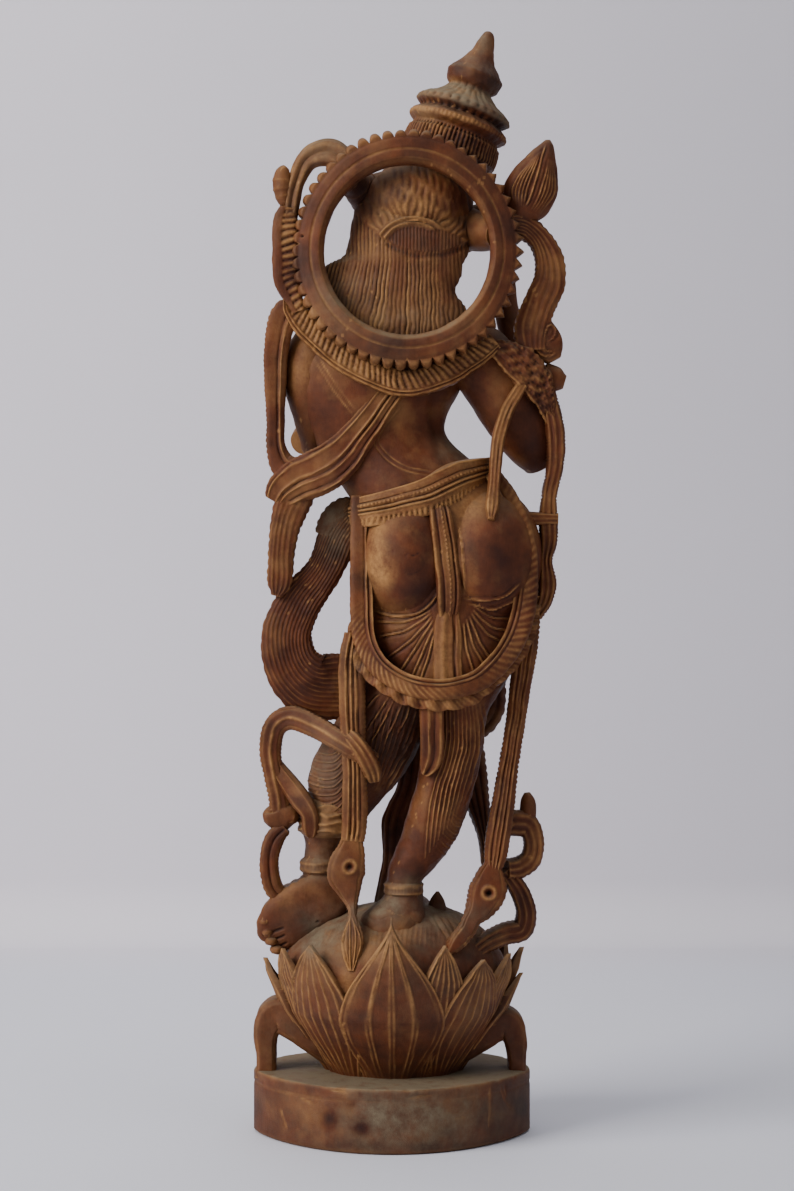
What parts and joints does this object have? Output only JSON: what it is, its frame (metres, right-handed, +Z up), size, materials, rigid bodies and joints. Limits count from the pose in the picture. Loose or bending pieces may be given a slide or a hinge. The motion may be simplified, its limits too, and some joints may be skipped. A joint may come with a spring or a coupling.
{
  "type": "krishna figure",
  "caption": "Carved wooden krishna figure with a flute, standing on a lotus and an oval plinth, inside pierced scarves and a halo ring; stands on a flat surface.",
  "frame": {"origin": "centre of the oval plinth's underside, on the surface it stands on", "axes": "+Z up, +Y toward the side that the figure faces, +X toward the figure's right, which is the right of the picture"},
  "size_m": [0.0851, 0.0596, 0.3007],
  "materials": {
    "carved_wood": "dark reddish-brown carved wood with light ochre cut lines and grey dust on its upper faces, semi-matte"
  },
  "bodies": {
    "root": {"krishna_figure": "carved_wood"}
  },
  "joints": []
}
